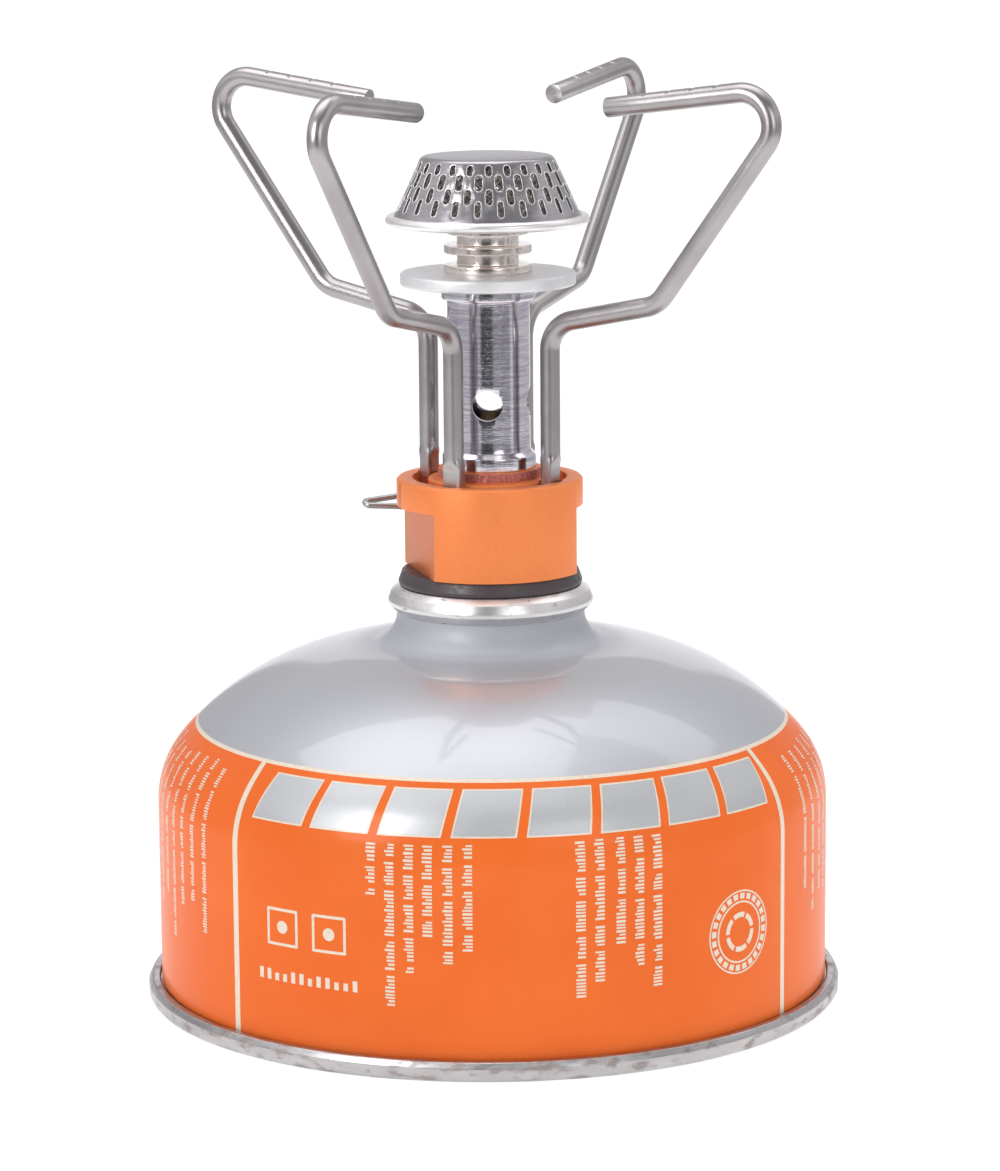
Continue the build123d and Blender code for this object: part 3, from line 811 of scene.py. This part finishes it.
# Rings of the roundel: radius, width, steps, gap
ROUNDEL_RINGS = ((6.4, 0.25, 64, 0), (5.6, 0.9, 72, 3), (4.7, 0.3, 48, 0), (2.7, 0.8, 36, 6))
SIDE_START, SIDE_PITCH, SIDE_COLUMNS, SIDE_TOP = 65.6, 4.15, 15, 44.3


def panel(cream, silver, front, draw):
    """One face of the label: its dividers, slanted band, small print, badges and roundel."""
    tall = PROFILE.label_top - LABEL_BOTTOM
    for side in DIVIDERS:
        cream.block(front + side, LABEL_BOTTOM + tall / 2, DIVIDER_WIDTH, tall, 0, 1, 40)
    pitch = (BAND_END - BAND_START) / BAND_BARS
    wide, tall, middle = pitch * DEGREE * BAND_COVER, BAND_HIGH - BAND_LOW, (BAND_LOW + BAND_HIGH) / 2
    for k in range(BAND_BARS):
        azimuth = front + BAND_START + (k + 0.5) * pitch
        cream.block(azimuth, middle, wide + BAND_LINE, tall + BAND_LINE, BAND_SLANT, 10, 10)
        silver.block(azimuth, middle, wide, tall, BAND_SLANT, 10, 10)
    for azimuth, high, low in TEXT_COLUMNS:
        word_column(cream, front + azimuth, high, low, draw)
    for azimuth in BADGE_AZIMUTHS:
        badge(cream, front + azimuth, BADGE_HEIGHT, BADGE_SIZE)
    tick_row(cream, front + TICKS_AZIMUTH, TICKS_HEIGHT, TICKS_WIDTH, 12, TICKS_TALL, draw)
    for radius, width, steps, gap in ROUNDEL_RINGS:
        cream.ring(front + ROUNDEL_AZIMUTH, ROUNDEL_HEIGHT, radius, width, steps, gap)


def side_print(cream, front, draw):
    """The dense small print that follows one face of the label."""
    for k in range(SIDE_COLUMNS):
        top = SIDE_TOP - draw.uniform(0, 1.5)
        azimuth = front + SIDE_START + k * SIDE_PITCH
        word_column(cream, azimuth, top, draw.uniform(13, 22), draw, SMALL_TEXT_TALL)


def label_print():
    """All the print: two like faces, with small print between them."""
    draw = random.Random(21)
    cream = Print("label_print", CREAM_INK, PRINT_LIFT)
    silver = Print("label_band", SILVER_INK, PRINT_OVER)
    for front in (FRONT, FRONT + 180):
        panel(cream, silver, front, draw)
        side_print(cream, front, draw)
    cream.finish()
    silver.finish()


# ---- stove body ----

VALVE_AZIMUTH, VALVE_Z = 105.7, 75.7
FLAT_AZIMUTH, FLAT_REACH = 15.7, 11.5


def base_gasket():
    """Rubber ring squeezed between the body and the canister's boss."""
    _, low, high = extent("base_gasket")
    bore_r, edge_r = 8.3, 14.6
    corners = [(bore_r, low, 0.1), (edge_r - 0.15, low, 0.4), (edge_r, low + 0.6, 0.3),
               (edge_r - 0.65, high, 0.25), (bore_r, high, 0.1)]
    turned("gasket_ring", rounded(corners, 0.2), 160, RUBBER, "stove_seal", ["base_gasket"])


def stove_parts():
    """Body and small machined pieces, with the edges that a tool or tumbling leaves."""
    piece = softened("machined_body", "stove_body", ANODISED, "stove", 0.22)
    piece.data.materials.append(ANODISED_FLATS_SHADE)
    across = Vector(polar(1, FLAT_AZIMUTH, 0))
    # The side flats take the darker copy of the anodising: painted shade
    for face in piece.data.polygons:
        flat = abs(face.normal.dot(across)) > 0.999 and abs(face.center.dot(across)) > FLAT_REACH * MM
        face.material_index = 1 if flat else 0
    softened("gland_nut", "packing_nut", NICKEL, "stove", 0.12)
    softened("brass_jet", "jet", BRASS, "stove", 0.08)
    softened("needle_spindle", "valve_spindle", WIRE, "spindle", 0.1)


def shaded_collar_ring():
    """The ring at the foot of the collar that the tube stands on. Its dark red mottle is painted shade and
    painted reflection over orange anodising.
    """
    inner_r, outer_r, low, high = 7.9, 8.12, 82.9, 84.3
    corners = [(inner_r, low), (outer_r, low, 0.1), (outer_r, high, 0.15), (inner_r, high + 0.12)]
    draw = random.Random(12)
    chips = [draw.uniform(-0.05, 0.05) for _ in range(97)]

    def ripple(azimuth, z):
        return chips[int(azimuth * 0.8 + z * 7) % len(chips)]
    turned("shaded_collar", rounded(corners, 0.05, 3), 240, COLLAR_PAINTED_SHADE, "stove",
           ripple=ripple)


TUBE_R, TUBE_COLLAR, TUBE_BORE = 6.5, 7.4, 5.6
TUBE_SHOULDER, TUBE_HEAD, TUBE_NECK_BORE = 84.4, 111.0, 4.4
AIR_HOLE_R, AIR_HOLE_Z, AIR_HOLE_AZIMUTH = 2.4, 94.8, 267.4


def densified(outline, longest):
    """A closed outline with points added along its sides that are longer than asked for."""
    dense = []
    for i, (x, y) in enumerate(outline):
        dense.append((x, y))
        next_x, next_y = outline[(i + 1) % len(outline)]
        count = int(dist((x, y), (next_x, next_y)) / longest)
        dense += [(x + (next_x - x) * k / count, y + (next_y - y) * k / count) for k in range(1, count)]
    return dense


def mixing_tube():
    """Chromed tube, turned all over, with four air holes."""
    _, low, high = extent("mixing_tube")
    spigot_r = 5.95
    corners = [(5.0, low, 0.1), (spigot_r, low, 0.1), (spigot_r, TUBE_SHOULDER, 0),
               (TUBE_COLLAR, TUBE_SHOULDER, 0.15),
               (TUBE_COLLAR, TUBE_SHOULDER + 2.0, 0.35), (TUBE_R + 0.1, TUBE_SHOULDER + 2.8, 0.5),
               (TUBE_R, TUBE_SHOULDER + 3.6, 0), (TUBE_R, TUBE_HEAD, 0.15), (TUBE_COLLAR, TUBE_HEAD, 0.9),
               (TUBE_COLLAR, high, 0.1), (TUBE_NECK_BORE, high, 0), (TUBE_NECK_BORE, TUBE_HEAD - 0.3, 0),
               (TUBE_BORE, TUBE_HEAD - 1.5, 0.3), (TUBE_BORE, 87.5, 0)]
    outline = densified(rounded(corners, 0.2), 1.2)
    piece = turned("chrome_tube", outline, 192, CHROME, "stove", ["mixing_tube"])
    holes = []
    for turn in range(4):
        hole = lathe("air_hole", [(0, -3), (AIR_HOLE_R, -3), (AIR_HOLE_R, 3), (0, 3)], 64, False)
        hole.transform(Matrix.Rotation(radians(AIR_HOLE_AZIMUTH + 90 * turn), 4, "Z")
                       @ Matrix.Translation((TUBE_R * MM, 0, AIR_HOLE_Z * MM))
                       @ Matrix.Rotation(radians(90), 4, "Y"))
        holes.append(hole)
    cut(piece, holes)
    ease_edges(piece, 0.1, 50)


def heat_disc():
    """Plain turned disc with broken edges."""
    disc_r, low, high = extent("heat_disc")
    corners = [(4.5, low, 0.1), (disc_r, low, 0.5), (disc_r, high, 0.5), (4.5, high, 0.1)]
    turned("heat_plate", rounded(corners, 0.3, 6), 192, ALUMINIUM, "stove", ["heat_disc"])


def burner_neck():
    """Turned neck: a foot, two square-edged fins and the seat of the pan."""
    fin_r, low, high = extent("burner_neck")
    bore_r, stem_r, neck_r, seat_r = 3.7, 4.4, 4.85, 6.4
    foot, waist, fin, groove, seat = 115.25, 116.5, 118.3, 119.6, 121.2
    corners = [(bore_r, low, 0), (stem_r, low, 0.1), (stem_r, foot, 0), (fin_r - 0.1, foot, 0.15),
               (fin_r, foot + 0.35, 0.22), (fin_r, waist, 0.22), (neck_r, waist, 0.25), (neck_r, fin, 0.25),
               (fin_r, fin, 0.22), (fin_r, groove, 0.22), (neck_r, groove, 0.25), (neck_r, seat, 0.25),
               (seat_r, seat, 0.2), (seat_r, seat + 0.7, 0), (4.8, seat + 0.7, 0), (4.8, high, 0.1),
               (bore_r, high, 0)]
    turned("finned_neck", rounded(corners, 0.15), 160, NICKEL, "stove", ["burner_neck"],
           ripple=hand_wear(5, 0.02))


def burner_pan():
    """Pressed pan, its rim rolled over."""
    low = extent("burner_pan")[1]
    bead_r, bead_z, bead_wire = 15.2, 123.5, 0.8
    bead = arc((bead_r, bead_z), bead_wire, -125, 190, 22)
    under = [(4.85, low), (6.4, low), (9.5, low + 0.22), (13.2, low + 0.62)]
    over = [(14.0, low + 1.35), (10.0, low + 0.95), (6.4, low + 0.7), (4.85, low + 0.7)]
    turned("pressed_pan", under + bead + over, 192, PRESSED, "stove", ["burner_pan"])


# ---- burner head ----

# Rows of slots: height, length, width, and shift round the cap as a share of the pitch
SLOT_ROWS = ((131.9, 2.0, 1.2, 0), (130.1, 2.85, 1.4, 0.5), (128.0, 2.75, 1.3, 0), (126.2, 2.85, 1.15, 0.5))
SLOTS_PER_ROW, FIRST_SLOT = 24, 271.3
LIP_WIRE_R, LIP_INSET, LIP_SINK = 0.07, 0.1, 0.02
CAP_BOTTOM, CAP_TOP = (14.6, 124.15), (10.3, 133.4)


def cap_radius(z):
    """Outer radius of the cap's cone at a height."""
    share = (CAP_TOP[1] - z) / (CAP_TOP[1] - CAP_BOTTOM[1])
    return CAP_TOP[0] + share * (CAP_BOTTOM[0] - CAP_TOP[0])


def slot_outline(length, width):
    """A round-ended slot, as (sideways, along) points."""
    steps = 6
    reach = (length - width) / 2
    points = []
    for end, start in ((1, 0), (-1, 180)):
        for k in range(steps + 1):
            turn = radians(start + 180 * k / steps)
            points.append((width / 2 * cos(turn), end * reach + width / 2 * sin(turn)))
    return points


def burner_cap():
    """Punched cap, its slotted cone in a darker copy of the steel as painted shade. Each slot has the bright
    rolled lip that the punch leaves.
    """
    piece = softened("punched_cap", "burner_cap", PRESSED, "stove", 0.06)
    piece.data.materials.append(CONE_SHADE_STAINLESS)
    # The slotted cone takes the darker copy of the steel: painted shade
    for face in piece.data.polygons:
        face.material_index = 1 if CAP_BOTTOM[1] * MM < face.center.z < CAP_TOP[1] * MM else 0
    lips = []
    lean = atan2(CAP_BOTTOM[0] - CAP_TOP[0], CAP_TOP[1] - CAP_BOTTOM[1])
    for z, length, width, shift in SLOT_ROWS:
        for k in range(SLOTS_PER_ROW):
            azimuth = FIRST_SLOT + (k + shift) * 360 / SLOTS_PER_ROW
            path = []
            for across, along in slot_outline(length - LIP_INSET, width - LIP_INSET):
                height = z + along * cos(lean)
                radius = cap_radius(height) - LIP_SINK
                turn = azimuth + degrees(across / radius)
                path.append(Vector(polar(radius, turn, height)))
            lips.append(round_wire(path, LIP_WIRE_R, 8, True))
    mesh = mesh_of("slot_lips", *joined(lips))
    add_piece("slot_lips", mesh, [PRESSED], "stove", sharp=80)


CLOTH_WIRES, CLOTH_WIRE_R, CLOTH_TWIST, CLOTH_WEAVE = 44, 0.14, 46, 0.13


def burner_screen():
    """Wire cloth cone: two sets of slanting wires that pass over and under each other."""
    top_r, bottom_r, low, high = 9.1, 12.8, 123.9, 132.2
    wires = []
    steps = 18
    for hand in (-1, 1):
        for k in range(CLOTH_WIRES):
            path = []
            for i in range(steps + 1):
                t = i / steps
                radius = bottom_r + (top_r - bottom_r) * t
                turn = 360 * k / CLOTH_WIRES + hand * CLOTH_TWIST * t
                crossing = 2 * t * CLOTH_WIRES * CLOTH_TWIST / 360 + k
                weave = CLOTH_WEAVE * hand * sin(pi * crossing)
                path.append(Vector(polar(radius + weave, turn, low + (high - low) * t)))
            wires.append(round_wire(path, CLOTH_WIRE_R, 6))
    mesh = mesh_of("wire_cloth", *joined(wires))
    add_piece("wire_cloth", mesh, [CLOTH], "stove", ["burner_screen"], 80)


# ---- bail and pot supports ----

BAIL_PIVOT_R, BAIL_FOLD, BAIL_REACH, BAIL_WIRE_R = 23.0, 93, 18.8, 0.5


def control_bail():
    """Wire bail hooked in the spindle from above and below."""
    pivot = Vector(polar(BAIL_PIVOT_R, VALVE_AZIMUTH, VALVE_Z))
    along = Vector(polar(1, VALVE_AZIMUTH + BAIL_FOLD, 0))
    near = Vector(polar(1, VALVE_AZIMUTH + BAIL_FOLD + 90, 0))
    up = Vector((0, 0, 1))
    tall, hook, waist = 3.1, 0.55, 9.0

    def at(reach, side, height):
        return pivot + along * reach + near * side + up * height
    points = (at(0, 0, hook), at(0, 0, tall), at(waist, -1.3, 0.6), at(BAIL_REACH, 0, 0),
              at(waist, 1.8, -0.6), at(0, 0, -tall), at(0, 0, -hook))
    path = bent_path(points, (1.0, 4.0, 0.8, 4.0, 1.0))
    mesh = mesh_of("wire_bail", *round_wire(path, BAIL_WIRE_R))
    add_piece("wire_bail", mesh, [WIRE], "bail", ["control_bail"])


SUPPORT_AZIMUTHS = (330, 240, 150, 60)
SUPPORT_R, SUPPORT_BEND, PIVOT_R = 1.55, 5.0, 11.05
KNEE, ELBOW, CORNER, TIP = (PIVOT_R, 0, 107.5), (30.0, 0, 111.5), (55.4, 0, 145.9), (21.4, 0, 141.5)
BLADE = (2.0, 3.2)
BLADE_TOP, BLADE_BLEND, BLADE_LOW = 84.9, 86.4, 79.3
STUB_R, STUB_LOW = 1.2, 72.2
NOTCH_FIRST, NOTCH_PITCH, NOTCH_COUNT = 6.6, 4.1, 4
# A notch along the arm: distance from its middle towards the corner, and depth
NOTCH = ((0.62, 0), (0.5, 0.06), (0.06, 0.38), (-0.06, 0.38), (-0.16, 0.08), (-0.26, 0))
# The rounded end of an arm: distance from the tip, and scale
ROUND_END = ((0.13, 1), (0.03, 0.98), (0, 0.93))
WIRE_SIDES = 40


def blade_section(share):
    """A section between the round wire, at 0, and the coined blade, at 1, as (across, along) points."""
    power = 2 + 5 * share
    wide = SUPPORT_R + (BLADE[0] / 2 - SUPPORT_R) * share
    deep = SUPPORT_R + (BLADE[1] / 2 - SUPPORT_R) * share
    points = []
    for k in range(WIRE_SIDES):
        turn = 2 * pi * k / WIRE_SIDES
        x, y = cos(turn), sin(turn)
        flat = (abs(x) ** power + abs(y) ** power) ** (-1 / power)
        points.append((x * flat * wide, y * flat * deep))
    return points


def support_stations():
    """Path points of one arm with its section's shape: (point, blade share, scale, notch depth)."""
    stations = [((PIVOT_R, 0, z), 1.0, scale, 0) for z, scale in
                ((BLADE_LOW, 0.86), (BLADE_LOW + 0.25, 1.0), (BLADE_TOP - 2.5, 1.0), (BLADE_TOP, 1.0))]
    rise = 6
    for k in range(1, rise + 1):
        share = 0.5 + 0.5 * cos(pi * k / rise)
        z = BLADE_TOP + (BLADE_BLEND + 0.6 - BLADE_TOP) * k / rise
        stations.append(((PIVOT_R, 0, z), share, 1, 0))
    bends = bent_path([(PIVOT_R, 0, BLADE_BLEND + 1), KNEE, ELBOW, CORNER, TIP], (SUPPORT_BEND,) * 3, 4.0)
    stations += [(tuple(p), 0, 1, 0) for p in bends[:-1]]
    tip = Vector(TIP)
    back = (Vector(CORNER) - tip).normalized()
    for k in reversed(range(NOTCH_COUNT)):
        along = NOTCH_FIRST + k * NOTCH_PITCH
        stations += [(tuple(tip + back * (along + shift)), 0, 1, depth) for shift, depth in NOTCH]
    return stations + [(tuple(tip + back * reach), 0, scale, 0) for reach, scale in ROUND_END]


def pot_support(number, azimuth):
    """One wire arm with its coined foot and grip notches."""
    stations = support_stations()
    points, rings = [], []
    places = [Vector(s[0]) for s in stations]
    across = Vector((0, 1, 0))
    for i, (_, share, scale, notch) in enumerate(stations):
        ahead = places[min(i + 1, len(places) - 1)] - places[max(i - 1, 0)]
        ahead.normalize()
        up = across.cross(ahead)
        rings.append(list(range(len(points), len(points) + WIRE_SIDES)))
        for x, y in blade_section(share):
            if notch:
                x = min(x, SUPPORT_R - notch)
            points.append(places[i] + up * x * scale + across * y * scale)
    stub = round_wire([Vector((PIVOT_R, 0, STUB_LOW)), Vector((PIVOT_R, 0, BLADE_LOW + 0.1))], STUB_R, 32)
    mesh = mesh_of(f"wire_arm_{number}", *joined([(points, skin(rings, False, True)), stub]))
    mesh.transform(Matrix.Rotation(radians(azimuth), 4, "Z"))
    net = bmesh.new()
    net.from_mesh(mesh)
    bmesh.ops.recalc_face_normals(net, faces=net.faces)
    net.to_mesh(mesh)
    net.free()
    add_piece(f"wire_arm_{number}", mesh, [WIRE], f"support_{number}",
              [f"pot_support_{number}"], 28)


# ---- stage and lights: metres and watts ----

FLOOR_HALF, FLOOR_GLOW = 6.0, 0.77


def make_stage():
    """A plain pale floor."""
    mesh = bpy.data.meshes.new("floor")
    corners = [(x * FLOOR_HALF, y * FLOOR_HALF, 0) for x, y in ((-1, -1), (1, -1), (1, 1), (-1, 1))]
    mesh.from_pydata(corners, [], [(0, 1, 2, 3)])
    s = Shader("pale_floor", Base_Color=(0.4, 0.4, 0.4, 1), Roughness=0.8, Specular_IOR_Level=0.1,
               Emission_Color=(1, 1, 1, 1), Emission_Strength=FLOOR_GLOW)
    mesh.materials.append(s.material)
    floor = placed("floor", mesh)


def area_light(name, place, target, size, power, rays):
    """A rectangular soft light that answers one kind of ray, diffuse or glossy."""
    data = bpy.data.lights.new(name, "AREA")
    data.shape = "RECTANGLE"
    data.size, data.size_y = size
    data.energy = power
    light = placed(name, data)
    light.location = place
    light.rotation_mode = "QUATERNION"
    light.rotation_quaternion = (Vector(target) - Vector(place)).to_track_quat("-Z", "Y")
    light.visible_camera = False
    light.visible_diffuse = rays == "diffuse"
    light.visible_glossy = rays == "glossy"


WORLD_FRONT, WORLD_BACK, WORLD_BRIGHT = 0.22, 0.55, 0.95
# Where the surround changes, as a part of a unit direction: from front to back, sideways and upwards
WORLD_TURN, WORLD_SIDE, WORLD_TOP = (-0.35, 0.3), (0.55, 0.9), (0.75, 0.95)


def make_world():
    """Soft studio surround: bright at the sides and overhead, dim behind the camera."""
    world = bpy.data.worlds.new("studio")
    bpy.context.scene.world = world
    tree = NodeTree(world)

    def spread(source, start, end, low=0.0, high=1.0):
        node = tree.add("ShaderNodeMapRange", interpolation_type="SMOOTHSTEP")
        for socket, value in zip(("From Min", "From Max", "To Min", "To Max"), (start, end, low, high)):
            node.inputs[socket].default_value = value
        tree.link(source, node.inputs["Value"])
        return node.outputs[0]

    split = tree.add("ShaderNodeSeparateXYZ")
    tree.link(tree.add("ShaderNodeTexCoord").outputs["Generated"], split.inputs[0])
    aside = tree.math("ABSOLUTE", split.outputs["X"])
    most = tree.math("MAXIMUM", spread(aside, *WORLD_SIDE), spread(split.outputs["Z"], *WORLD_TOP))
    strength = tree.add("ShaderNodeMix")
    tree.link(most, strength.inputs["Factor"])
    tree.link(spread(split.outputs["Y"], *WORLD_TURN, WORLD_FRONT, WORLD_BACK), strength.inputs["A"])
    strength.inputs["B"].default_value = WORLD_BRIGHT
    background = world.node_tree.nodes["Background"]
    tree.link(strength.outputs["Result"], background.inputs["Strength"])
    background.inputs["Color"].default_value = (1, 1, 1, 1)


CARDS_DISTANCE, CARDS_LOW, CARDS_TOP, CARDS_BACK = 0.45, 0.0005, 0.22, 1.1
# Light and dark cards that polished metal mirrors: first and last angle from the camera's side, brightness
CARDS = ((-165, -92, 0.45), (-92, -54, 0.5), (-54, -48, 0.1), (-48, -22, 0.42), (-22, 11, 0.06),
         (11, 62, 0.28), (62, 77, 0.65), (77, 84, 0.12), (84, 160, 0.55))
CARD_EDGE = 1.0


def make_cards():
    """A ring of cards that only reflections see, with a bright sweep behind the stove."""
    s = Shader("studio_cards", Base_Color=(0, 0, 0, 1), Roughness=1.0, Emission_Strength=1.0)
    split = s.add("ShaderNodeSeparateXYZ")
    s.link(s.coords, split.inputs[0])
    turn = s.math("ARCTAN2", split.outputs["X"], s.math("MULTIPLY", split.outputs["Y"], -1))
    stops = [(-180, CARDS_BACK), (CARDS[0][0] - CARD_EDGE, CARDS_BACK)]
    for first, last, value in CARDS:
        stops += [(first + CARD_EDGE, value), (last - CARD_EDGE, value)]
    stops += [(CARDS[-1][1] + CARD_EDGE, CARDS_BACK), (180, CARDS_BACK)]
    ramp = s.add("ShaderNodeValToRGB")
    elements = ramp.color_ramp.elements
    while len(elements) < len(stops):
        elements.new(0.5)
    for element, (angle, value) in zip(elements, stops):
        element.position = angle / 360 + 0.5
        element.color = (value * 0.98, value * 0.96, value, 1)
    s.link(s.math("MULTIPLY_ADD", turn, 1 / (2 * pi), 0.5), ramp.inputs["Fac"])
    s.link(ramp.outputs["Color"], s.bsdf.inputs["Emission Color"])
    steps = 72
    points, faces = [], []
    for k in range(steps):
        x, y, _ = polar(CARDS_DISTANCE, 360 * k / steps, 0)
        points += [(x, y, CARDS_LOW), (x, y, CARDS_TOP)]
        n = (k + 1) % steps
        faces.append((2 * k, 2 * n, 2 * n + 1, 2 * k + 1))
    mesh = bpy.data.meshes.new("studio_cards")
    mesh.from_pydata(points, [], faces)
    mesh.materials.append(s.material)
    wall = placed("studio_cards", mesh)
    wall.visible_camera = False
    wall.visible_diffuse = False
    wall.visible_shadow = False
    wall.visible_transmission = False


def make_lights():
    """Fill from above and both sides, and the softboxes that the lacquer mirrors."""
    make_world()
    make_cards()
    stove, large = (0, 0, 0.06), (0.8, 0.6)
    area_light("overhead", (0, 0.05, 1.2), stove, large, 3.4, "diffuse")
    area_light("left", (-0.5, -0.58, 0.35), stove, (0.5, 0.7), 1.75, "diffuse")
    area_light("right", (0.58, -0.45, 0.35), stove, (0.5, 0.7), 1.08, "diffuse")
    area_light("top_softbox", (-0.3, 0.12, 1.2), (-0.3, 0.12, 0), (1.3, 0.78), 5.7, "glossy")
    area_light("rear_softbox", (0.75, 0.6, 1.2), (0.75, 0.6, 0), large, 1.8, "glossy")
    area_light("left_softbox", (-0.26, -0.292, 0.242), (-0.0179, -0.0488, 0.0377), (0.15, 0.26), 0.9,
               "glossy")
    area_light("right_softbox", (0.194, -0.382, 0.167), (0.0125, -0.0512, 0.036), (0.2, 0.34), 0.4, "glossy")
    bpy.context.scene.view_settings.view_transform = "Standard"


canister_body()
seam_rim()
crimp_ring()
label_print()
base_gasket()
stove_parts()
shaded_collar_ring()
mixing_tube()
heat_disc()
burner_neck()
burner_pan()
burner_cap()
burner_screen()
control_bail()
for arm, azimuth in enumerate(SUPPORT_AZIMUTHS, start=1):
    pot_support(arm, azimuth)
make_camera()
make_stage()
make_lights()
